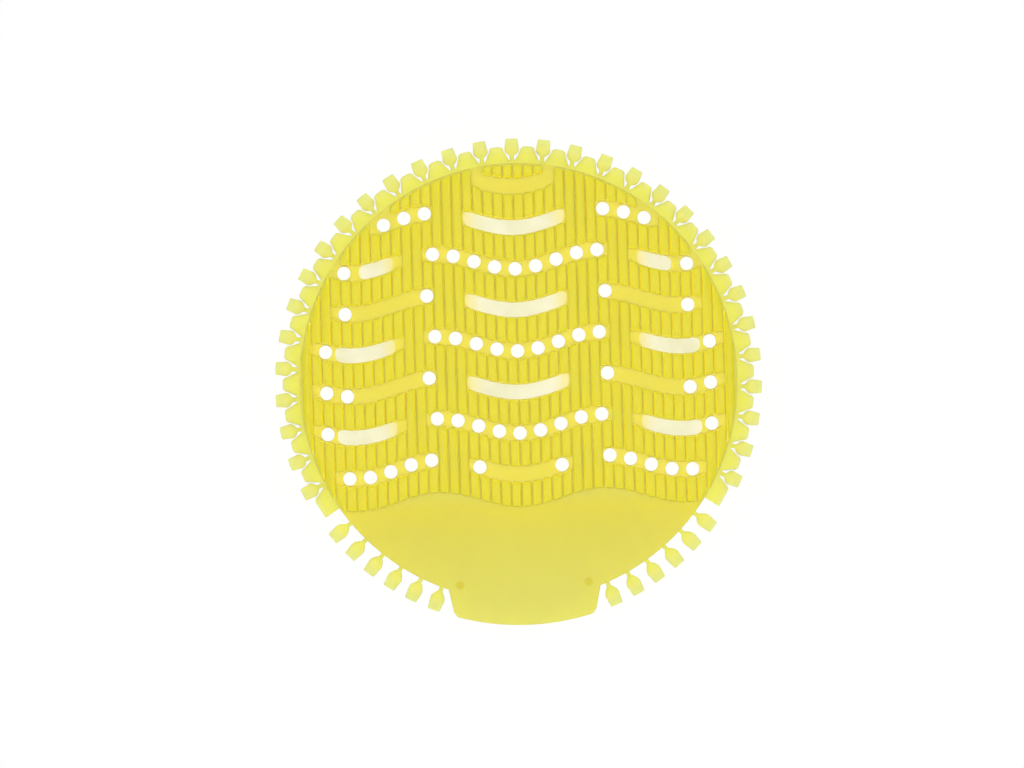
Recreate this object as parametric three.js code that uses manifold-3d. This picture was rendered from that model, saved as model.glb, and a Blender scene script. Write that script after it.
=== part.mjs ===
// Urinal deodorizer screen: one flexible disc, injection moulded in a single shot.
// A thin perforated plate carries wavy ridges, and each ridge is a comb of upright fins. Round
// drain holes and long thin-webbed slots lie in the valleys between the ridges. Small paddles on
// narrow necks ring the edge, with rounded lobes between them. A smooth tab with a lip is for
// lifting, and short feet keep the plate off the bowl.
// Millimetres, +Z up. The origin is the disc's centre on the plane that the feet stand on, and
// the tab points to -Y. Angles are in degrees from the tab's middle line, to the right.
import * as THREE from "three";
import { mergeVertices } from "three/addons/utils/BufferGeometryUtils.js";
import Module from "manifold-3d";

const wasm = await Module();
wasm.setup();

// Outline
const plateRadius = 81;
const rimWidth = 6.2;
const paddleReach = 2.8;
const ridgeLedge = 0.8;
const rimEndAngle = 56.5;
const arcStep = 7;

// Heights
const footHeight = 2;
const plateThickness = 1.8;
const skirtThickness = 1.3;
const slotWeb = 0.4;
const finHeight = 8.2;

// Wave pattern: rows of valleys, counted from the top, on one cosine wave
const waveLength = 60.8;
const waveHeight = 3.1;
const rowPitch = 15.2;
const lastRowY = -31;
const valleyHalfWidth = 3;
const valleyEndRun = 0.8;
const lastRidgeWidth = 9;

// Fins: plates across the ridges, a little thinner and shorter at the top
const finsPerWave = 16;
const finGap = 0.7;
const finDraft = 0.12;
const flankDraft = 0.35;
const shortestFin = 1.5;

// Drain holes and slots. Both are left out where they don't fit inside the ridges' circle.
const holesPerWave = 8;
const holeRadius = 2.5;
const holeSides = 8;
const holeMargin = 1.5;
const sideHoleStart = 33;
const slotHalfWidth = 2.7;
const slotMargin = 1.5;
const centreSlotEnd = 18.9;
const sideSlotStart = 45;
const shortSlotEnd = 57.8;
const longSlotEnd = 67.5;
const slotEndSegments = 2;

// Paddles
const neckHalfWidth = 0.8;
const neckLength = 1.6;
const bulbHalfWidth = 2.7;
const bulbShoulder = 4;
const paddleEndHalfWidth = 2.35;
const paddleCorner = 0.6;
const upperPaddleCount = 31;
const upperPaddleSpan = 232;
const lowerPaddleCount = 6;
const lowerPaddleFirst = 22.2;
const lowerPaddlePitch = 5.88;

// Pockets in the rim, one round each upper paddle, which leave the lobes between them
const pocketGap = 0.55;
const pocketFloorWidth = 1.2;
const lobeTipHalfWidth = 0.8;

// Lip at the end of the tab
const lipRootHalfWidth = 28.3;
const lipTipHalfWidth = 26.4;
const lipCorner = 1.6;

// Feet
const footRadius = 1.5;
const footTipRadius = 1.2;
const footSides = 6;
const tabFootAngle = 17.7;
const tabFootInset = 2.8;

// Values that follow from the sizes
const rimRadius = plateRadius + rimWidth;
const tipRadius = rimRadius + paddleReach;
const ridgeRadius = plateRadius - ridgeLedge;
const pocketFloor = plateRadius + pocketFloorWidth;
const finPitch = waveLength / finsPerWave;
const holePitch = waveLength / holesPerWave;
const plateBottom = footHeight;
const plateTop = plateBottom + plateThickness;
const skirtTop = plateBottom + skirtThickness;
const finTop = plateTop + finHeight;
const fullTurn = 360;
const overlap = 1;

// What lies in each row of valleys. Hole numbers count hole pitches: from the centre line in a
// centre valley, and from sideHoleStart outwards in a side valley.
const centreHoles = [-4, -3, -2, -1, 0, 1, 2, 3, 4];
const rows = [
  { plainEnd: 15 },
  { slotEnd: centreSlotEnd, sideHoles: [0, 1, 2] },
  { centreHoles, sideSlotEnd: shortSlotEnd, sideHoles: [4] },
  { slotEnd: centreSlotEnd, sideHoles: [0, 4] },
  { centreHoles, sideSlotEnd: longSlotEnd, sideHoles: [5] },
  { slotEnd: centreSlotEnd, sideHoles: [0, 4, 5] },
  { centreHoles, sideSlotEnd: longSlotEnd, sideHoles: [5] },
  { centreHoles: [-2, 2], sideHoles: [0, 1, 2, 3, 4] },
];

// Solids
function solidOf(geometry) {
  const bare = geometry.index ? geometry.toNonIndexed() : geometry.clone();
  bare.deleteAttribute("normal");
  bare.deleteAttribute("uv");
  const merged = mergeVertices(bare, 1e-5);
  const mesh = new wasm.Mesh({
    numProp: 3,
    vertProperties: new Float32Array(merged.attributes.position.array),
    triVerts: new Uint32Array(merged.index.array),
  });
  return new wasm.Manifold(mesh);
}

function together(solids) {
  return solids.reduce((all, next) => all.add(next));
}

function extruded(shape, bottom, top) {
  const geometry = new THREE.ExtrudeGeometry(shape, {
    depth: top - bottom,
    bevelEnabled: false,
    curveSegments: 2,
  });
  geometry.translate(0, 0, bottom);
  return solidOf(geometry);
}

// Wave
function waveY(x) {
  return -waveHeight * Math.cos((2 * Math.PI * x) / waveLength);
}

function rowY(row) {
  return lastRowY + (rows.length - 1 - row) * rowPitch;
}

// The multiples of a step that lie between two numbers
function steps(from, to, step) {
  const found = [];
  for (let k = Math.ceil(from / step); k * step < to; k += 1) found.push(k * step);
  return found;
}

function mirrored(spans) {
  return spans.flatMap(([x0, x1]) => [[x0, x1], [-x1, -x0]]);
}

// Valleys, slots and holes of one row
function sideHoleX(number) {
  return sideHoleStart + number * holePitch;
}

function valleySpans({ plainEnd, slotEnd, centreHoles: holes, sideSlotEnd, sideHoles }) {
  const past = holeRadius + holeMargin;
  const centreEnd = plainEnd ?? (slotEnd ? slotEnd + slotMargin : Math.max(...holes) * holePitch + past);
  const spans = [[-centreEnd, centreEnd]];
  if (sideHoles) {
    const start = sideSlotEnd ? sideSlotStart - slotMargin : sideHoleX(sideHoles[0]) - past;
    spans.push(...mirrored([[start, sideHoleX(sideHoles.at(-1)) + past]]));
  }
  return spans;
}

// A feature is made where it fits inside the ridges' circle
function fits(row, x, reach) {
  return Math.hypot(x, rowY(row) + waveY(x)) + reach < ridgeRadius;
}

function slotSpans(row, { slotEnd, sideSlotEnd }) {
  const centre = slotEnd ? [[-slotEnd, slotEnd]] : [];
  const side = sideSlotEnd ? mirrored([[sideSlotStart, sideSlotEnd]]) : [];
  return [...centre, ...side].filter((span) => span.every((x) => fits(row, x, slotMargin)));
}

function holePositions(row, { centreHoles: holes = [], sideHoles = [] }) {
  const side = sideHoles.map(sideHoleX);
  const all = [...holes.map((number) => number * holePitch), ...side, ...side.map((x) => -x)];
  return all.filter((x) => fits(row, x, holeRadius));
}

// Outlines of the holes and slots
function holePath(row, x) {
  const path = new THREE.Path();
  path.absarc(x, rowY(row) + waveY(x), holeRadius, 0, 2 * Math.PI);
  return new THREE.Path(path.getSpacedPoints(holeSides).slice(0, -1));
}

function slotShape(row, [x0, x1]) {
  const left = x0 + slotHalfWidth;
  const right = x1 - slotHalfWidth;
  const centre = rowY(row);
  const point = (x, across) => new THREE.Vector2(x, centre + waveY(x) + across);
  const middle = steps(left + overlap, right - overlap, 2 * finPitch);
  const turns = [];
  for (let i = 1; i < 2 * slotEndSegments; i += 1) turns.push((i / (2 * slotEndSegments)) * Math.PI);
  return new THREE.Shape([
    ...[left, ...middle, right].map((x) => point(x, -slotHalfWidth)),
    ...turns.map((turn) =>
      point(right + slotHalfWidth * Math.sin(turn), -slotHalfWidth * Math.cos(turn))),
    ...[left, ...middle, right].reverse().map((x) => point(x, slotHalfWidth)),
    ...turns.map((turn) =>
      point(left - slotHalfWidth * Math.sin(turn), slotHalfWidth * Math.cos(turn))),
  ]);
}

// The point at a place across and a distance out along the ray at an angle
function polar(angle, across, out) {
  const turn = THREE.MathUtils.degToRad(angle);
  return new THREE.Vector2(
    across * Math.cos(turn) + out * Math.sin(turn),
    across * Math.sin(turn) - out * Math.cos(turn),
  );
}

function lineTo(shape, point) {
  shape.lineTo(point.x, point.y);
}

function curveTo(shape, control, end) {
  shape.quadraticCurveTo(control.x, control.y, end.x, end.y);
}

function arcPoints(from, to, radius) {
  const count = Math.ceil((to - from) / arcStep);
  return Array.from({ length: count + 1 }, (_, i) => polar(from + ((to - from) * i) / count, 0, radius));
}

function arcTo(shape, from, to, radius) {
  for (const point of arcPoints(from, to, radius)) lineTo(shape, point);
}

// Angles
function upperPaddleAngles() {
  const first = (fullTurn - upperPaddleSpan) / 2;
  const pitch = upperPaddleSpan / (upperPaddleCount - 1);
  return Array.from({ length: upperPaddleCount }, (_, i) => first + i * pitch);
}

function lowerPaddleAngles() {
  return Array.from({ length: lowerPaddleCount }, (_, i) => lowerPaddleFirst + i * lowerPaddlePitch);
}

function angleAcross(halfWidth, radius) {
  return THREE.MathUtils.radToDeg(Math.asin(halfWidth / radius));
}

// One paddle, drawn from one side of its neck to the other
function addPaddle(shape, angle, rootRadius) {
  const at = (across, out) => polar(angle, across, out);
  const bulbRoot = rootRadius + neckLength;
  const shoulder = tipRadius - bulbShoulder;
  const bend = (bulbRoot + shoulder) / 2;
  lineTo(shape, at(-neckHalfWidth, rootRadius));
  lineTo(shape, at(-neckHalfWidth, bulbRoot));
  curveTo(shape, at(-bulbHalfWidth, bend), at(-bulbHalfWidth, shoulder));
  lineTo(shape, at(-paddleEndHalfWidth, tipRadius - paddleCorner));
  lineTo(shape, at(-paddleEndHalfWidth + paddleCorner, tipRadius));
  lineTo(shape, at(paddleEndHalfWidth - paddleCorner, tipRadius));
  lineTo(shape, at(paddleEndHalfWidth, tipRadius - paddleCorner));
  lineTo(shape, at(bulbHalfWidth, shoulder));
  curveTo(shape, at(bulbHalfWidth, bend), at(neckHalfWidth, bulbRoot));
  lineTo(shape, at(neckHalfWidth, rootRadius));
}

// One upper paddle with the pocket round it, from the lobe before it to the lobe after it
function addPocketedPaddle(shape, angle, lobeHalfPitch) {
  const at = (across, out) => polar(angle, across, out);
  const mouth = rimRadius * Math.sin(THREE.MathUtils.degToRad(lobeHalfPitch)) - lobeTipHalfWidth;
  const side = bulbHalfWidth + pocketGap;
  const shoulder = tipRadius - bulbShoulder - pocketGap;
  const floor = neckHalfWidth + pocketGap;
  lineTo(shape, at(-mouth, rimRadius));
  lineTo(shape, at(-side, shoulder));
  lineTo(shape, at(-floor, pocketFloor));
  addPaddle(shape, angle, pocketFloor);
  lineTo(shape, at(floor, pocketFloor));
  lineTo(shape, at(side, shoulder));
  lineTo(shape, at(mouth, rimRadius));
}

function addLip(shape) {
  const rootOut = Math.sqrt(plateRadius ** 2 - lipRootHalfWidth ** 2);
  const tipOut = Math.sqrt(tipRadius ** 2 - lipTipHalfWidth ** 2);
  const cornerAngle = angleAcross(lipTipHalfWidth - lipCorner, tipRadius);
  const root = new THREE.Vector2(lipRootHalfWidth, -rootOut);
  const tip = new THREE.Vector2(lipTipHalfWidth, -tipOut);
  const before = tip.clone().lerp(root, lipCorner / tip.distanceTo(root));
  shape.moveTo(-root.x, root.y);
  shape.lineTo(-before.x, before.y);
  curveTo(shape, new THREE.Vector2(-tip.x, tip.y), polar(-cornerAngle, 0, tipRadius));
  arcTo(shape, -cornerAngle, cornerAngle, tipRadius);
  curveTo(shape, tip, before);
  shape.lineTo(root.x, root.y);
}

// The outline of the whole disc, once round from the lip
function discShape() {
  const shape = new THREE.Shape();
  const lowers = lowerPaddleAngles();
  const uppers = upperPaddleAngles();
  const neck = angleAcross(neckHalfWidth, plateRadius);
  const lipEnd = angleAcross(lipRootHalfWidth, plateRadius);
  const lobeHalfPitch = (uppers[1] - uppers[0]) / 2;
  const addLowers = (angles, start, end) => {
    let from = start;
    for (const angle of angles) {
      arcTo(shape, from, angle - neck, plateRadius);
      addPaddle(shape, angle, plateRadius);
      from = angle + neck;
    }
    arcTo(shape, from, end, plateRadius);
  };
  addLip(shape);
  addLowers(lowers, lipEnd, rimEndAngle);
  lineTo(shape, polar(rimEndAngle, 0, rimRadius));
  for (const angle of uppers) addPocketedPaddle(shape, angle, lobeHalfPitch);
  lineTo(shape, polar(-rimEndAngle, 0, rimRadius));
  addLowers(lowers.map((angle) => -angle).reverse(), -rimEndAngle, -lipEnd);
  return shape;
}

function plate() {
  const shape = discShape();
  rows.forEach((spec, row) => {
    for (const x of holePositions(row, spec)) shape.holes.push(holePath(row, x));
  });
  return extruded(shape, plateBottom, plateTop);
}

// The slots stop short of the plate's underside and leave a thin web, which light comes through
function slots() {
  const cuts = rows.flatMap((spec, row) => slotSpans(row, spec).map((span) =>
    extruded(slotShape(row, span), plateBottom + slotWeb, plateTop + overlap)));
  return together(cuts);
}

// What is taken off the top of the rim and the paddles, but not off the lip
function skirtRelief() {
  const start = angleAcross(lipRootHalfWidth, plateRadius);
  const outer = arcPoints(start, fullTurn - start, tipRadius + overlap);
  const inner = arcPoints(start, fullTurn - start, plateRadius);
  return extruded(new THREE.Shape([...outer, ...inner.reverse()]), skirtTop, plateTop + overlap);
}

// Fins
// Half the width of a valley at x: its ends are round, and no narrower than at their run
function valleyReach([x0, x1], x) {
  const inside = THREE.MathUtils.clamp(Math.min(x - x0, x1 - x), valleyEndRun, valleyHalfWidth);
  return Math.sqrt(valleyHalfWidth ** 2 - (valleyHalfWidth - inside) ** 2);
}

// The top and bottom edge of each fin in the column between two x values
function finsInColumn(x0, x1) {
  const circle = (x) => Math.sqrt(ridgeRadius ** 2 - x ** 2);
  const lastEdge = (x) => rowY(rows.length - 1) + waveY(x) - valleyHalfWidth - lastRidgeWidth;
  const middle = (x0 + x1) / 2;
  const fins = [];
  const outer = [circle(x0), circle(x1)];
  let upper = outer;
  rows.forEach((spec, row) => {
    const span = valleySpans(spec).find(([from, to]) => from < middle && middle < to);
    if (!span) return;
    const centre = rowY(row);
    const cut = (side) => [x0, x1].map((x) => centre + waveY(x) + side * valleyReach(span, x));
    fins.push({ upper, lower: cut(1) });
    upper = cut(-1).map((y, i) => Math.min(y, outer[i]));
  });
  fins.push({ upper, lower: [x0, x1].map((x) => Math.max(lastEdge(x), -circle(x))) });
  return fins.filter((fin) => fin.upper.every((y, i) => y - fin.lower[i] > shortestFin));
}

// A fin: a four-sided post that narrows a little towards its top
function finSolid(x0, x1, { upper, lower }) {
  const section = (xDraft, yDraft) => [
    [x0 + xDraft, lower[0] + yDraft],
    [x1 - xDraft, lower[1] + yDraft],
    [x1 - xDraft, upper[1] - yDraft],
    [x0 + xDraft, upper[0] - yDraft],
  ];
  const rootZ = plateTop - overlap;
  const positions = [
    ...section(0, 0).flatMap(([x, y]) => [x, y, rootZ]),
    ...section(finDraft, flankDraft).flatMap(([x, y]) => [x, y, finTop]),
  ];
  const index = [0, 3, 2, 0, 2, 1, 4, 5, 6, 4, 6, 7];
  for (let i = 0; i < 4; i += 1) {
    const next = (i + 1) % 4;
    index.push(i, next, next + 4, i, next + 4, i + 4);
  }
  const geometry = new THREE.BufferGeometry();
  geometry.setAttribute("position", new THREE.Float32BufferAttribute(positions, 3));
  geometry.setIndex(index);
  return solidOf(geometry);
}

function fins() {
  const solids = [];
  for (const x of steps(-ridgeRadius, ridgeRadius - finPitch, finPitch)) {
    const x0 = x + finGap / 2;
    const x1 = x + finPitch - finGap / 2;
    for (const fin of finsInColumn(x0, x1)) solids.push(finSolid(x0, x1, fin));
  }
  return together(solids);
}

// Feet, under every third ridge and under the tab's corners
function footPlaces() {
  const tabFeet = [tabFootAngle, -tabFootAngle];
  const places = tabFeet.map((angle) => polar(angle, 0, plateRadius - tabFootInset).toArray());
  for (let ridge = 0.5; ridge < rows.length - 1; ridge += 3) {
    for (const x of steps(-ridgeRadius, ridgeRadius, waveLength / 2)) {
      const y = rowY(ridge) + waveY(x);
      if (Math.hypot(x, y) < ridgeRadius - footRadius) places.push([x, y]);
    }
  }
  return places;
}

function footSolid([x, y]) {
  const top = plateBottom + plateThickness / 2;
  const geometry = new THREE.CylinderGeometry(footRadius, footTipRadius, top, footSides);
  geometry.rotateX(Math.PI / 2);
  geometry.translate(x, y, top / 2);
  return solidOf(geometry);
}

// The whole screen as one solid
function screenSolid() {
  const feet = together(footPlaces().map(footSolid));
  return plate().subtract(skirtRelief()).subtract(slots()).add(fins()).add(feet);
}

function meshOf(solid, name, material) {
  const { vertProperties, triVerts } = solid.getMesh();
  const geometry = new THREE.BufferGeometry();
  geometry.setAttribute("position", new THREE.Float32BufferAttribute(vertProperties, 3));
  geometry.setIndex(Array.from(triVerts));
  geometry.computeVertexNormals();
  const mesh = new THREE.Mesh(geometry, material);
  mesh.name = name;
  return mesh;
}

// Waxy translucent yellow plastic
const yellowPlastic = new THREE.MeshStandardMaterial({ color: 0xe8db3e, roughness: 0.45, metalness: 0 });

const part = new THREE.Group();
part.add(meshOf(screenSolid(), "deodorizer_screen", yellowPlastic));
export default part;
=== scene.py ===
import math

import bpy
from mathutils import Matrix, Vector


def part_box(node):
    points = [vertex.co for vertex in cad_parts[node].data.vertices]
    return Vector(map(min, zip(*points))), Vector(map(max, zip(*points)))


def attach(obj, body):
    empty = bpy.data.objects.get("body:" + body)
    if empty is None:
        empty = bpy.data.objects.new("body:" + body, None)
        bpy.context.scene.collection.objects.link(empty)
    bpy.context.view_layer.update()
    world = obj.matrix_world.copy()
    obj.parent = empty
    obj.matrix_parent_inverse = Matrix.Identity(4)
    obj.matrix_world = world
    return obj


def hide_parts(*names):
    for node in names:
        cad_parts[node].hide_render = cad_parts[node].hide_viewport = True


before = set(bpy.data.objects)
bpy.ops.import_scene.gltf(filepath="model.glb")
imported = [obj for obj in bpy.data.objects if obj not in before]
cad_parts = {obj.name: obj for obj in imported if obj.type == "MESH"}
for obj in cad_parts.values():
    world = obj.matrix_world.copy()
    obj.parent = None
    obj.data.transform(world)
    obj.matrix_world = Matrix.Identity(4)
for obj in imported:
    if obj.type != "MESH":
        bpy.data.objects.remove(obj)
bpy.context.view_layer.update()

screenLow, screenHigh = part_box("deodorizer_screen")
mm = 0.001
print("frame loaded, screen", [round((high - low) / mm, 1) for low, high in zip(screenLow, screenHigh)], "mm")


# Operators work on what is selected, so every piece starts from an empty selection
def deselectAll():
    if bpy.context.mode != "OBJECT":
        bpy.ops.object.mode_set(mode="OBJECT")
    bpy.ops.object.select_all(action="DESELECT")


def selectOnly(*pieces):
    deselectAll()
    for piece in pieces:
        piece.select_set(True)
    bpy.context.view_layer.objects.active = pieces[0]


def applyPlace(piece):
    selectOnly(piece)
    bpy.ops.object.transform_apply(location=True, rotation=True, scale=True)


def applyModifier(piece, kind, settings):
    selectOnly(piece)
    modifier = piece.modifiers.new(kind.lower(), kind)
    for key, value in settings.items():
        setattr(modifier, key, value)
    bpy.ops.object.modifier_apply(modifier=modifier.name)


def combine(piece, tool, operation):
    applyModifier(piece, "BOOLEAN", {"object": tool, "operation": operation, "solver": "EXACT"})
    bpy.data.objects.remove(tool)


def joinPieces(pieces):
    selectOnly(*pieces)
    bpy.ops.object.join()
    return bpy.context.view_layer.objects.active


def cleanNormals(piece):
    selectOnly(piece)
    bpy.ops.object.mode_set(mode="EDIT")
    bpy.ops.mesh.select_all(action="SELECT")
    bpy.ops.mesh.remove_doubles(threshold=0.002 * mm)
    bpy.ops.mesh.normals_make_consistent(inside=False)
    bpy.ops.object.mode_set(mode="OBJECT")


def copyOf(piece, turn=0.0):
    twin = piece.copy()
    twin.data = piece.data.copy()
    bpy.context.collection.objects.link(twin)
    twin.rotation_euler.z = turn
    applyPlace(twin)
    return twin


# Round the disc, angles are counted in degrees from the tab's middle line, to the right
def copiesAround(piece, angles):
    copies = [copyOf(piece, math.radians(angle + 180)) for angle in angles]
    bpy.data.objects.remove(piece)
    return joinPieces(copies)


# A flat piece that runs outwards along +Y, extruded from one station to the next
def extrudedAlong(name, stations, bottom, top):
    firstOut, firstHalf = stations[0]
    deselectAll()
    bpy.ops.mesh.primitive_plane_add(size=1, location=(0, firstOut * mm, (bottom + top) / 2 * mm),
                                     rotation=(math.radians(90), 0, 0))
    piece = bpy.context.object
    piece.name = name
    piece.scale = (2 * firstHalf * mm, (top - bottom) * mm, 1)
    applyPlace(piece)
    bpy.ops.object.mode_set(mode="EDIT")
    bpy.ops.mesh.select_all(action="SELECT")
    half = firstHalf
    out = firstOut
    for nextOut, nextHalf in stations[1:]:
        bpy.ops.mesh.extrude_region_move(TRANSFORM_OT_translate={"value": (0, (nextOut - out) * mm, 0)})
        bpy.ops.transform.resize(value=(nextHalf / half, 1, 1),
                                 center_override=(0, nextOut * mm, (bottom + top) / 2 * mm))
        half = nextHalf
        out = nextOut
    bpy.ops.object.mode_set(mode="OBJECT")
    cleanNormals(piece)
    return piece


# Wave pattern: the rows of valleys lie on one cosine wave
wave = {
    "length": 60.8,
    "height": 3.1,
    "rowPitch": 15.2,
    "lastRowY": -31.0,
    "valleyHalfWidth": 3.0,
    "valleyEndRun": 0.8,
    "lastRidgeWidth": 9.0,
    "holePitch": 7.6,
    "holeRadius": 2.5,
    "holeMargin": 1.5,
    "sideHoleStart": 33.0,
    "slotHalfWidth": 2.7,
    "slotMargin": 1.5,
    "holeSides": 36,
    "slotSteps": 24,
}
centreHoles = [-4, -3, -2, -1, 0, 1, 2, 3, 4]
centreSlot = 18.9
sideSlotStart = 45.0
rows = [
    {"plainEnd": 15.0},
    {"slotEnd": centreSlot, "sideHoles": [0, 1, 2]},
    {"centreHoles": centreHoles, "sideSlotEnd": 57.8, "sideHoles": [4]},
    {"slotEnd": centreSlot, "sideHoles": [0, 4]},
    {"centreHoles": centreHoles, "sideSlotEnd": 67.5, "sideHoles": [5]},
    {"slotEnd": centreSlot, "sideHoles": [0, 4, 5]},
    {"centreHoles": centreHoles, "sideSlotEnd": 67.5, "sideHoles": [5]},
    {"centreHoles": [-2, 2], "sideHoles": [0, 1, 2, 3, 4]},
]


def waveY(x):
    return -wave["height"] * math.cos(2 * math.pi * x / wave["length"])


def rowY(row):
    return wave["lastRowY"] + (len(rows) - 1 - row) * wave["rowPitch"]


def sideHoleX(number):
    return wave["sideHoleStart"] + number * wave["holePitch"]


def holePositions(spec):
    side = [sideHoleX(number) for number in spec.get("sideHoles", [])]
    return [number * wave["holePitch"] for number in spec.get("centreHoles", [])] + side + [-x for x in side]


def slotSpans(spec):
    spans = []
    if "slotEnd" in spec:
        spans.append((-spec["slotEnd"], spec["slotEnd"]))
    if "sideSlotEnd" in spec:
        spans += [(sideSlotStart, spec["sideSlotEnd"]), (-spec["sideSlotEnd"], -sideSlotStart)]
    return spans


def valleySpans(spec):
    past = wave["holeRadius"] + wave["holeMargin"]
    if "plainEnd" in spec:
        centreEnd = spec["plainEnd"]
    elif "slotEnd" in spec:
        centreEnd = spec["slotEnd"] + wave["slotMargin"]
    else:
        centreEnd = max(spec["centreHoles"]) * wave["holePitch"] + past
    spans = [(-centreEnd, centreEnd)]
    if "sideHoles" in spec:
        if "sideSlotEnd" in spec:
            start = sideSlotStart - wave["slotMargin"]
        else:
            start = sideHoleX(spec["sideHoles"][0]) - past
        end = sideHoleX(spec["sideHoles"][-1]) + past
        spans += [(start, end), (-end, -start)]
    return spans


# Plate, rim, paddles and lip
disc = {
    "radius": 81.0,
    "bottom": 2.0,
    "top": 3.8,
    "skirtTop": 3.3,
    "web": 0.4,
    "sides": 288,
    "rimRadius": 87.2,
    "rimEndAngle": 56.5,
    "tipRadius": 90.0,
    "edgeBevel": 0.15,
}
paddle = {
    "neck": 0.8,
    "neckLength": 1.6,
    "bulb": 2.7,
    "shoulder": 4.0,
    "end": 2.35,
    "corner": 0.6,
    "curveSteps": 5,
    "upperCount": 31,
    "upperSpan": 232.0,
    "lowerCount": 6,
    "lowerFirst": 22.2,
    "lowerPitch": 5.88,
    "pocketGap": 0.4,
    "pocketFloor": 82.2,
    "lobeTip": 0.8,
}
lip = {
    "rootHalf": 28.3,
    "tipHalf": 26.4,
    "tipRadius": 89.85,
    "corner": 1.6,
    "cuts": 40,
}
foot = {
    "radius": 1.5,
    "tipRadius": 1.2,
    "sides": 24,
    "tabAngle": 17.7,
    "tabInset": 2.8,
}
upperAngles = [180 - paddle["upperSpan"] / 2 + i * paddle["upperSpan"] / (paddle["upperCount"] - 1)
               for i in range(paddle["upperCount"])]
lowerAngles = [paddle["lowerFirst"] + i * paddle["lowerPitch"] for i in range(paddle["lowerCount"])]
lowerAngles += [-angle for angle in lowerAngles]


def curveSteps(start, control, end, count):
    points = []
    for i in range(1, count + 1):
        t = i / count
        points.append(tuple((1 - t) ** 2 * a + 2 * t * (1 - t) * b + t ** 2 * c
                            for a, b, c in zip(start, control, end)))
    return points


def paddleStations(root):
    tip = disc["tipRadius"]
    bulbRoot = root + paddle["neckLength"]
    shoulder = tip - paddle["shoulder"]
    side = curveSteps((bulbRoot, paddle["neck"]), ((bulbRoot + shoulder) / 2, paddle["bulb"]),
                      (shoulder, paddle["bulb"]), paddle["curveSteps"])
    corner = curveSteps((tip - paddle["corner"], paddle["end"]), (tip, paddle["end"]),
                        (tip, paddle["end"] - paddle["corner"]), paddle["curveSteps"])
    corner[-1] = (tip, corner[-1][1])
    return [(disc["radius"] - 1, paddle["neck"]), (bulbRoot, paddle["neck"]), *side,
            (tip - paddle["corner"], paddle["end"]), *corner]


def pocketStations():
    half = math.radians(paddle["upperSpan"] / (paddle["upperCount"] - 1) / 2)
    mouth = disc["rimRadius"] * math.sin(half) - paddle["lobeTip"]
    side = paddle["bulb"] + paddle["pocketGap"]
    shoulder = disc["tipRadius"] - paddle["shoulder"] - paddle["pocketGap"]
    flare = curveSteps((shoulder, side), (disc["rimRadius"] - 0.25, side + 0.1), (disc["rimRadius"], mouth),
                       paddle["curveSteps"])
    return [(paddle["pocketFloor"], paddle["neck"] + paddle["pocketGap"]), (shoulder, side), *flare,
            (disc["rimRadius"] + 1, mouth + 1)]


def makeDisc():
    deselectAll()
    bpy.ops.mesh.primitive_cylinder_add(vertices=disc["sides"], radius=disc["radius"] * mm,
                                        depth=(disc["top"] - disc["bottom"]) * mm,
                                        location=(0, 0, (disc["top"] + disc["bottom"]) / 2 * mm))
    piece = bpy.context.object
    piece.name = "screen"
    applyPlace(piece)
    return piece


# The rim is a flat section spun round the ridged part, with a pocket cut for each paddle
def makeRim():
    inner = disc["radius"] - 1
    outer = disc["rimRadius"]
    deselectAll()
    bpy.ops.mesh.primitive_plane_add(size=1, rotation=(math.radians(90), 0, 0),
                                     location=((inner + outer) / 2 * mm, 0,
                                               (disc["bottom"] + disc["skirtTop"]) / 2 * mm))
    piece = bpy.context.object
    piece.scale = ((outer - inner) * mm, (disc["skirtTop"] - disc["bottom"]) * mm, 1)
    applyPlace(piece)
    piece.rotation_euler.z = math.radians(disc["rimEndAngle"] - 90)
    applyPlace(piece)
    bpy.ops.object.mode_set(mode="EDIT")
    bpy.ops.mesh.select_all(action="SELECT")
    sweep = 360 - 2 * disc["rimEndAngle"]
    bpy.ops.mesh.spin(steps=int(disc["sides"] * sweep / 360), angle=math.radians(sweep), center=(0, 0, 0),
                      axis=(0, 0, -1))
    bpy.ops.object.mode_set(mode="OBJECT")
    cleanNormals(piece)
    pocket = extrudedAlong("pocket", pocketStations(), disc["bottom"] - 1, disc["skirtTop"] + 1)
    combine(piece, copiesAround(pocket, upperAngles), "DIFFERENCE")
    return piece


def makeLip():
    root = disc["radius"]
    tip = lip["tipRadius"]
    deselectAll()
    bpy.ops.mesh.primitive_cube_add(size=1, location=(0, -(root + tip) / 2 * mm,
                                                      (disc["bottom"] + disc["top"]) / 2 * mm))
    piece = bpy.context.object
    piece.scale = (2 * lip["tipHalf"] * mm, (tip - root) * mm, (disc["top"] - disc["bottom"]) * mm)
    applyPlace(piece)
    outerY = min(v.co.y for v in piece.data.vertices)
    bpy.ops.object.mode_set(mode="EDIT")
    bpy.ops.mesh.select_all(action="DESELECT")
    bpy.ops.mesh.select_mode(type="EDGE")
    bpy.ops.object.mode_set(mode="OBJECT")
    for edge in piece.data.edges:
        ends = [piece.data.vertices[i].co for i in edge.vertices]
        edge.select = abs(ends[0].x - ends[1].x) > mm
    bpy.ops.object.mode_set(mode="EDIT")
    bpy.ops.mesh.subdivide(number_cuts=lip["cuts"])
    bpy.ops.object.mode_set(mode="OBJECT")
    for vertex in piece.data.vertices:
        x = vertex.co.x / mm
        if abs(vertex.co.y - outerY) < 0.01 * mm:
            past = max(0.0, abs(x) - (lip["tipHalf"] - lip["corner"]))
            rounding = lip["corner"] - math.sqrt(max(0.0, lip["corner"] ** 2 - past ** 2))
            vertex.co.y = (-math.sqrt(tip ** 2 - x ** 2) + rounding) * mm
        else:
            x *= lip["rootHalf"] / lip["tipHalf"]
            vertex.co.x = x * mm
            vertex.co.y = (-math.sqrt(root ** 2 - x ** 2) + 1) * mm
    cleanNormals(piece)
    return piece


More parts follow.
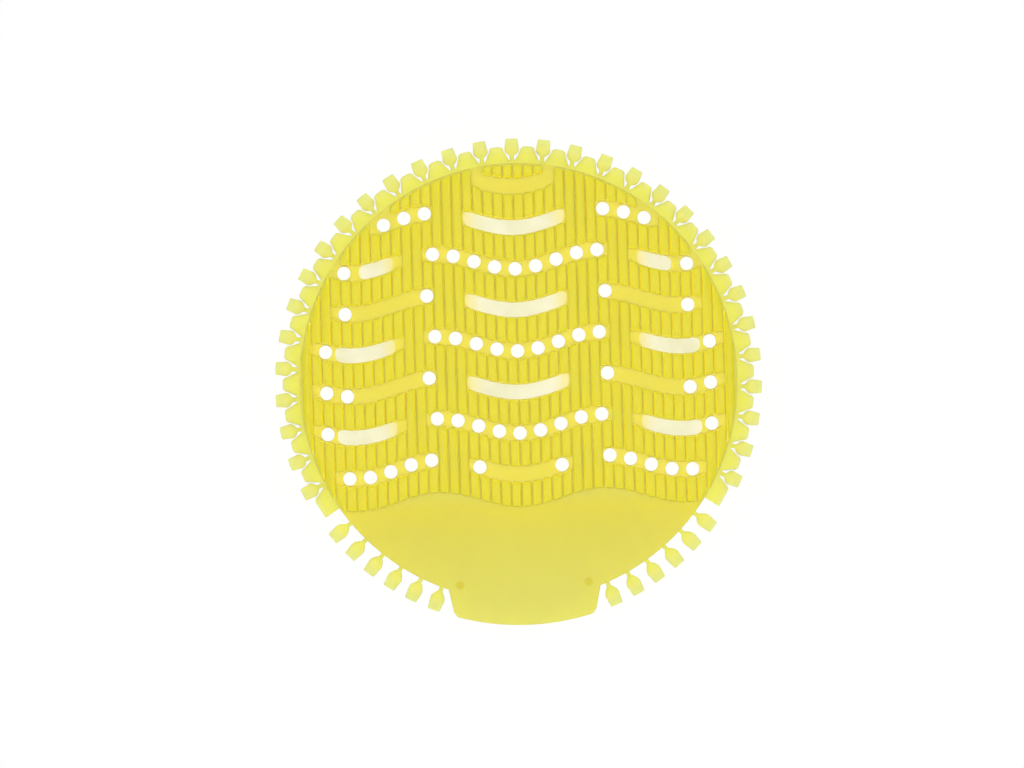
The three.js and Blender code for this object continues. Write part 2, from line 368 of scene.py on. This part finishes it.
def footPlaces():
    out = disc["radius"] - foot["tabInset"]
    turn = math.radians(foot["tabAngle"])
    places = [(side * out * math.sin(turn), -out * math.cos(turn)) for side in (1, -1)]
    for ridge in (0.5, 3.5, 6.5):
        for half in (-2, -1, 0, 1, 2):
            x = half * wave["length"] / 2
            y = rowY(ridge) + waveY(x)
            if math.hypot(x, y) < fin["circleRadius"] - foot["radius"]:
                places.append((x, y))
    return places


def makeFeet():
    feet = []
    top = (disc["bottom"] + disc["top"]) / 2
    for x, y in footPlaces():
        deselectAll()
        bpy.ops.mesh.primitive_cone_add(vertices=foot["sides"], radius1=foot["tipRadius"] * mm,
                                        radius2=foot["radius"] * mm, depth=top * mm,
                                        location=(x * mm, y * mm, top / 2 * mm))
        feet.append(bpy.context.object)
        applyPlace(feet[-1])
    return joinPieces(feet)


def makeHoleCutters():
    cutters = []
    for row, spec in enumerate(rows):
        for x in holePositions(spec):
            deselectAll()
            bpy.ops.mesh.primitive_cylinder_add(vertices=wave["holeSides"], radius=wave["holeRadius"] * mm,
                                                depth=8 * mm,
                                                location=(x * mm, (rowY(row) + waveY(x)) * mm,
                                                          disc["bottom"] * mm))
            cutters.append(bpy.context.object)
            applyPlace(cutters[-1])
    return joinPieces(cutters)


# A slot is a long block with round ends, bent to the wave; it stops above a thin web
def makeSlotCutters():
    cutters = []
    for row, spec in enumerate(rows):
        for x0, x1 in slotSpans(spec):
            half = wave["slotHalfWidth"]
            low = disc["bottom"] + disc["web"]
            high = disc["top"] + 1
            ends = curveSteps((0, 0.02), (0, half), (half, half), 8)
            rising = [(x0 + 0.02, 0.05)] + [(x0 + run, max(width, 0.05)) for run, width in ends]
            middle = [(x0 + half + (x1 - x0 - 2 * half) * i / wave["slotSteps"], half)
                      for i in range(1, wave["slotSteps"])]
            falling = [(x1 + x0 - x, width) for x, width in reversed(rising)]
            piece = extrudedAlong("slotCutter", rising + middle + falling, low, high)
            piece.rotation_euler.z = math.radians(-90)
            applyPlace(piece)
            for vertex in piece.data.vertices:
                vertex.co.y += (rowY(row) + waveY(vertex.co.x / mm)) * mm
            cutters.append(piece)
    return joinPieces(cutters)


# Fins
fin = {
    "perWave": 16,
    "gap": 0.7,
    "draft": 0.12,
    "flankDraft": 0.35,
    "circleRadius": 80.2,
    "top": 12.0,
    "root": 3.5,
    "shortest": 1.5,
    "bevel": 0.22,
    "templateHalf": 5.0,
}


def valleyReach(span, x):
    half = wave["valleyHalfWidth"]
    inside = min(max(min(x - span[0], span[1] - x), wave["valleyEndRun"]), half)
    return math.sqrt(half ** 2 - (half - inside) ** 2)


def finsInColumn(x0, x1):
    middle = (x0 + x1) / 2
    circle = [math.sqrt(fin["circleRadius"] ** 2 - x ** 2) for x in (x0, x1)]
    found = []
    upper = circle
    for row, spec in enumerate(rows):
        span = next((s for s in valleySpans(spec) if s[0] < middle < s[1]), None)
        if span is None:
            continue
        centre = rowY(row)
        found.append((upper, [centre + waveY(x) + valleyReach(span, x) for x in (x0, x1)]))
        upper = [min(centre + waveY(x) - valleyReach(span, x), limit) for x, limit in zip((x0, x1), circle)]
    lastEdge = [wave["lastRowY"] + waveY(x) - wave["valleyHalfWidth"] - wave["lastRidgeWidth"]
                for x in (x0, x1)]
    found.append((upper, [max(edge, -limit) for edge, limit in zip(lastEdge, circle)]))
    return [(up, low) for up, low in found if min(u - v for u, v in zip(up, low)) > fin["shortest"]]


# One fin is modelled as a block with soft edges, and each copy is fitted to its four corners
def makeFinTemplate():
    deselectAll()
    bpy.ops.mesh.primitive_cube_add(size=1, location=(0, 0, (fin["root"] + fin["top"]) / 2 * mm))
    piece = bpy.context.object
    pitch = wave["length"] / fin["perWave"]
    piece.scale = ((pitch - fin["gap"]) * mm, 2 * fin["templateHalf"] * mm, (fin["top"] - fin["root"]) * mm)
    applyPlace(piece)
    for edge in piece.data.edges:
        ends = [piece.data.vertices[i].co.z for i in edge.vertices]
        edge.select = max(ends) > (fin["top"] - 1) * mm
    bpy.ops.object.mode_set(mode="EDIT")
    bpy.ops.mesh.bevel(offset=fin["bevel"] * mm, segments=2, profile=0.5)
    bpy.ops.object.mode_set(mode="OBJECT")
    cleanNormals(piece)
    return piece


def fittedFin(template, x0, x1, upper, lower):
    piece = copyOf(template)
    width = x1 - x0
    height = fin["top"] - fin["root"]
    for vertex in piece.data.vertices:
        across = vertex.co.x / mm
        along = vertex.co.y / mm
        rise = (vertex.co.z / mm - fin["root"]) / height
        share = across / width + 0.5
        edge = upper if along > 0 else lower
        side = 1 if along > 0 else -1
        y = edge[0] + (edge[1] - edge[0]) * share
        vertex.co.x = ((x0 + x1) / 2 + across * (1 - 2 * fin["draft"] * rise / width)) * mm
        vertex.co.y = (y + along - side * fin["templateHalf"] - side * fin["flankDraft"] * rise) * mm
    return piece


def makeFins():
    template = makeFinTemplate()
    pitch = wave["length"] / fin["perWave"]
    last = int(fin["circleRadius"] // pitch)
    copies = []
    for k in range(-last, last):
        x0 = k * pitch + fin["gap"] / 2
        x1 = (k + 1) * pitch - fin["gap"] / 2
        for upper, lower in finsInColumn(x0, x1):
            copies.append(fittedFin(template, x0, x1, upper, lower))
    bpy.data.objects.remove(template)
    print("fins", len(copies))
    return joinPieces(copies)


# Materials
def linear(code):
    channels = [int(code[i:i + 2], 16) / 255 for i in (1, 3, 5)]
    return tuple(c / 12.92 if c <= 0.04045 else ((c + 0.055) / 1.055) ** 2.4 for c in channels) + (1.0,)


# A node with its settings; an input takes a link from a socket, or a plain value
def addNode(material, kind, settings=None, inputs=None):
    node = material.node_tree.nodes.new(kind)
    for key, value in (settings or {}).items():
        if hasattr(node, key):
            setattr(node, key, value)
        else:
            node.inputs[key].default_value = value
    for key, source in (inputs or {}).items():
        if isinstance(source, bpy.types.NodeSocket):
            material.node_tree.links.new(source, node.inputs[key])
        else:
            node.inputs[key].default_value = source
    return node


def newMaterial(name):
    material = bpy.data.materials.new(name)
    material.use_nodes = True
    material.node_tree.nodes.clear()
    return material


def setRamp(node, stops):
    ramp = node.color_ramp
    while len(ramp.elements) < len(stops):
        ramp.elements.new(1.0)
    for element, (place, code) in zip(ramp.elements, stops):
        element.position = place
        element.color = linear(code)


# Injection-moulded EVA: soft, waxy and slightly clear. Thin parts let the white floor through, so
# the paint goes from a full yellow on the tall fins to a pale greenish one on the thin paddles.
evaColours = {
    "ridge": "#ddd42a",
    "finFoot": "#c4ba38",
    "valley": "#dbd14e",
    "tabShadedNear": "#e3d33a",
    "tabFar": "#e8df64",
    "footShade": "#dccc30",
    "rim": "#f8ee5e",
    "lobe": "#f0e87a",
    "paddle": "#e3e582",
    "web": "#e2e4e2",
    "webShade": "#d8dace",
    "webEndWallLight": "#e0d89a",
    "wallGlow": "#a2981f",
    "stepGlow": "#6c6510",
}
# Millimetres from the disc's centre towards the tab, and round the two foot marks
evaPlaces = {
    "valleyEnd": -42.0,
    "tabStart": -45.0,
    "tabFull": -47.0,
    "markInner": 1.1,
    "markOuter": 1.9,
}


def ramp(material, source, stops):
    node = addNode(material, "ShaderNodeValToRGB", {}, {"Fac": source})
    setRamp(node, stops)
    return node.outputs["Color"]


def spread(material, source, low, high):
    node = addNode(material, "ShaderNodeMapRange", {"From Min": low * mm, "From Max": high * mm},
                   {"Value": source})
    return node.outputs["Result"]


def blend(material, share, first, second):
    node = addNode(material, "ShaderNodeMix", {"data_type": "RGBA"}, {0: share, 6: first, 7: second})
    return node.outputs[2]


# The paint by place: rim and paddles by radius, the tab by distance from the ridges, fins by height
def evaPaint(material, axes):
    x, y, z = (axes.outputs[axis] for axis in "XYZ")
    flat = addNode(material, "ShaderNodeCombineXYZ", {}, {"X": x, "Y": y}).outputs[0]
    radius = addNode(material, "ShaderNodeVectorMath", {"operation": "LENGTH"}, {0: flat}).outputs["Value"]
    # Painted light: the rim is painted brighter than the plate to lift the shade it gets low beside the tall
    # fins, and the lobes and paddles paler outwards for the light through the thin plastic
    rim = ramp(material, spread(material, radius, disc["radius"], disc["tipRadius"]),
               [(0.0, evaColours["rim"]), (0.3, evaColours["rim"]), (0.6, evaColours["lobe"]),
                (0.8, evaColours["paddle"])])
    # Painted shadow: the tab is painted darker next to the ridges, where the last ridge's shadow falls, and
    # paler towards the lip
    tab = ramp(material, spread(material, y, -disc["tipRadius"], evaPlaces["tabStart"]),
               [(0.0, evaColours["tabFar"]), (1.0, evaColours["tabShadedNear"])])
    # Painted shade: the two feet under the tab show through it as faint darker marks, painted where the feet
    # hold back the light through the thin plate
    side = addNode(material, "ShaderNodeMath", {"operation": "ABSOLUTE"}, {0: x}).outputs[0]
    folded = addNode(material, "ShaderNodeCombineXYZ", {}, {"X": side, "Y": y}).outputs[0]
    footX, footY = footPlaces()[0]
    toFoot = addNode(material, "ShaderNodeVectorMath", {"operation": "DISTANCE"},
                     {0: folded, 1: (footX * mm, footY * mm, 0)}).outputs["Value"]
    tab = blend(material, spread(material, toFoot, evaPlaces["markOuter"], evaPlaces["markInner"]), tab, linear(evaColours["footShade"]))
    plateColour = blend(material, spread(material, y, evaPlaces["valleyEnd"], evaPlaces["tabFull"]),
                        linear(evaColours["valley"]), tab)
    low = blend(material, spread(material, z, 3.7, 3.4), plateColour, rim)
    fins = ramp(material, spread(material, z, disc["top"], fin["top"]),
                [(0.0, evaColours["finFoot"]), (0.75, evaColours["finFoot"]), (0.93, evaColours["ridge"]),
                 (1.0, evaColours["ridge"])])
    return blend(material, spread(material, z, 3.9, 4.6), low, fins)


# Painted glow: an emission on the fins' walls and the rim's step stands in for light from all sides that
# travels inside the plastic and comes out there
def evaGlow(material, axes):
    dark = "#000000"
    return ramp(material, spread(material, axes.outputs["Z"], disc["skirtTop"], fin["top"]),
                [(0.0, dark), (0.01, evaColours["stepGlow"]), (0.045, evaColours["stepGlow"]), (0.053, dark),
                 (0.06, dark), (0.066, evaColours["wallGlow"]), (0.95, evaColours["wallGlow"]), (0.99, dark)])


def makeEva():
    material = newMaterial("mouldedEva")
    place = addNode(material, "ShaderNodeTexCoord").outputs["Object"]
    axes = addNode(material, "ShaderNodeSeparateXYZ", {}, {"Vector": place})
    # Flow marks about 12 mm long and a fine satin grain of 0.4 mm
    marks = addNode(material, "ShaderNodeTexNoise", {"Scale": 80.0, "Detail": 3.0}, {"Vector": place})
    flow = marks.outputs["Fac"]
    value = addNode(material, "ShaderNodeMapRange", {"To Min": 0.97, "To Max": 1.03}, {"Value": flow})
    tinted = addNode(material, "ShaderNodeHueSaturation", {},
                     {"Color": evaPaint(material, axes), "Value": value.outputs["Result"]})
    grain = addNode(material, "ShaderNodeTexNoise", {"Scale": 2500.0, "Detail": 2.0}, {"Vector": place})
    bump = addNode(material, "ShaderNodeBump", {"Strength": 0.25, "Distance": 0.05 * mm},
                   {"Height": grain.outputs["Fac"]})
    rough = addNode(material, "ShaderNodeMapRange", {"To Min": 0.54, "To Max": 0.62}, {"Value": flow})
    shader = addNode(material, "ShaderNodeBsdfPrincipled",
                     {"IOR": 1.49, "Subsurface Weight": 1.0, "Subsurface Radius": (1.0, 0.9, 0.35),
                      "Subsurface Scale": 5 * mm, "Specular IOR Level": 0.35, "Emission Strength": 1.0},
                     {"Base Color": tinted.outputs["Color"], "Emission Color": evaGlow(material, axes),
                      "Normal": bump.outputs["Normal"], "Roughness": rough.outputs["Result"]})
    addNode(material, "ShaderNodeOutputMaterial", {}, {"Surface": shader.outputs["BSDF"]})
    return material


# The web in the slots is thin enough to let most of the light through: its near-white paint is painted light
# for the white floor seen through it, and it turns yellow at its ends as painted light thrown from the yellow
# slot walls
def makeWeb():
    material = newMaterial("thinEvaWeb")
    place = addNode(material, "ShaderNodeTexCoord").outputs["Object"]
    across = addNode(material, "ShaderNodeSeparateXYZ", {}, {"Vector": place}).outputs["X"]
    side = addNode(material, "ShaderNodeMath", {"operation": "ABSOLUTE"}, {0: across}).outputs[0]
    cloud = addNode(material, "ShaderNodeTexNoise", {"Scale": 120.0, "Detail": 2.0}, {"Vector": place})
    middle = ramp(material, cloud.outputs["Fac"], [(0.3, evaColours["webShade"]), (0.7, evaColours["web"])])
    # Painted light: yellow towards the slots' ends, thrown there from the yellow slot walls
    innerEnd = spread(material, side, 13, centreSlot)
    outerStart = spread(material, side, sideSlotStart, sideSlotStart + 5)
    wallLightAtEnd = addNode(material, "ShaderNodeMath", {"operation": "SUBTRACT", "use_clamp": True},
                    {0: innerEnd, 1: outerStart}).outputs[0]
    colour = blend(material, wallLightAtEnd, middle, linear(evaColours["webEndWallLight"]))
    shader = addNode(material, "ShaderNodeBsdfPrincipled",
                     {"IOR": 1.49, "Roughness": 0.6, "Specular IOR Level": 0.35, "Subsurface Weight": 0.4,
                      "Subsurface Radius": (1.0, 0.9, 0.6), "Subsurface Scale": 2 * mm},
                     {"Base Color": colour})
    addNode(material, "ShaderNodeOutputMaterial", {}, {"Surface": shader.outputs["BSDF"]})
    return material


def makeScreen():
    piece = makeDisc()
    print("disc made")
    combine(piece, makeRim(), "UNION")
    print("rim joined", len(piece.data.polygons))
    paddles = []
    for root, angles in ((paddle["pocketFloor"], upperAngles), (disc["radius"], lowerAngles)):
        single = extrudedAlong("paddle", paddleStations(root), disc["bottom"], disc["skirtTop"])
        paddles.append(copiesAround(single, angles))
    combine(piece, joinPieces(paddles), "UNION")
    combine(piece, makeLip(), "UNION")
    combine(piece, makeFeet(), "UNION")
    print("paddles, lip and feet joined", len(piece.data.polygons))
    combine(piece, makeHoleCutters(), "DIFFERENCE")
    combine(piece, makeSlotCutters(), "DIFFERENCE")
    print("holes and slots cut", len(piece.data.polygons))
    cleanNormals(piece)
    bpy.ops.object.shade_smooth_by_angle(angle=math.radians(35))
    applyModifier(piece, "BEVEL", {"width": disc["edgeBevel"] * mm, "segments": 2, "limit_method": "ANGLE",
                                   "angle_limit": math.radians(40), "use_clamp_overlap": True,
                                   "harden_normals": True})
    print("edges softened", len(piece.data.polygons))
    fins = makeFins()
    selectOnly(fins)
    bpy.ops.object.shade_smooth_by_angle(angle=math.radians(50))
    piece = joinPieces([piece, fins])
    piece.name = "screen"
    piece.data.materials.clear()
    piece.data.materials.append(makeEva())
    piece.data.materials.append(makeWeb())
    webTop = (disc["bottom"] + disc["web"]) * mm
    for polygon in piece.data.polygons:
        onWeb = abs(polygon.center.z - webTop) < 0.05 * mm and polygon.normal.z > 0.9
        polygon.material_index = 1 if onWeb else 0
    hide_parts("deodorizer_screen")
    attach(piece, "root")
    return piece


# Floor, light and camera
studio = {
    "floorSize": 3.0,
    "floorColour": "#fafafa",
    "floorGlow": 0.85,
    "worldStrength": 0.3,
    "lampSize": 0.3,
    "lampHeight": 2.6,
    "lampPower": 50.0,
}
# The camera looks straight down. The picture is frameWidth wide in mm at the height of the ground, its
# middle lies off the disc's centre by centreX and centreY, and roll turns it in degrees
view = {
    "height": 1.6,
    "frameWidth": 379.4,
    "centreX": -2.41,
    "centreY": -0.74,
    "roll": -1.7,
    "sensor": 36.0,
}


def makeFloor():
    deselectAll()
    bpy.ops.mesh.primitive_plane_add(size=studio["floorSize"], location=(0, 0, -0.05 * mm))
    floor = bpy.context.object
    floor.name = "floor"
    material = newMaterial("whiteSweep")
    diffuse = addNode(material, "ShaderNodeBsdfDiffuse", {"Color": linear(studio["floorColour"])})
    glow = addNode(material, "ShaderNodeEmission", {"Color": (1, 1, 1, 1), "Strength": 1.0})
    path = addNode(material, "ShaderNodeLightPath")
    seen = addNode(material, "ShaderNodeMath", {"operation": "MAXIMUM"},
                   {0: path.outputs["Is Camera Ray"], 1: path.outputs["Is Glossy Ray"]})
    seen = addNode(material, "ShaderNodeMath", {"operation": "MAXIMUM"},
                   {0: seen.outputs[0], 1: path.outputs["Is Transmission Ray"]})
    share = addNode(material, "ShaderNodeMath", {"operation": "MULTIPLY"},
                    {0: seen.outputs[0], 1: studio["floorGlow"]})
    mixed = addNode(material, "ShaderNodeMixShader", {}, {0: share.outputs[0], 1: diffuse.outputs[0],
                                                         2: glow.outputs[0]})
    # The floor can be looked through from below, to see the underside
    back = addNode(material, "ShaderNodeNewGeometry").outputs["Backfacing"]
    clear = addNode(material, "ShaderNodeBsdfTransparent").outputs[0]
    sheet = addNode(material, "ShaderNodeMixShader", {}, {0: back, 1: mixed.outputs[0], 2: clear}).outputs[0]
    addNode(material, "ShaderNodeOutputMaterial", {}, {"Surface": sheet})
    floor.data.materials.append(material)


def makeLights():
    world = bpy.data.worlds.new("softRoom")
    bpy.context.scene.world = world
    world.use_nodes = True
    background = world.node_tree.nodes["Background"]
    background.inputs["Color"].default_value = (1, 1, 1, 1)
    background.inputs["Strength"].default_value = studio["worldStrength"]
    deselectAll()
    bpy.ops.object.light_add(type="AREA", location=(0, 0, studio["lampHeight"]))
    lamp = bpy.context.object
    lamp.data.size = studio["lampSize"]
    lamp.data.energy = studio["lampPower"]


def makeCamera():
    deselectAll()
    roll = math.radians(view["roll"])
    right = Vector((math.cos(roll), math.sin(roll), 0))
    up = Vector((-math.sin(roll), math.cos(roll), 0))
    place = (right * view["centreX"] + up * view["centreY"]) * mm
    bpy.ops.object.camera_add(location=(place.x, place.y, view["height"]), rotation=(0, 0, roll))
    camera = bpy.context.object
    camera.data.sensor_width = view["sensor"]
    camera.data.lens = view["sensor"] * view["height"] / (view["frameWidth"] * mm)
    camera.data.dof.use_dof = False
    bpy.context.scene.camera = camera


makeCamera()
makeLights()
makeFloor()
print("camera, lamp and floor placed")
screen = makeScreen()
print("screen made", len(screen.data.polygons), "faces")
bpy.context.scene.view_settings.view_transform = "Standard"
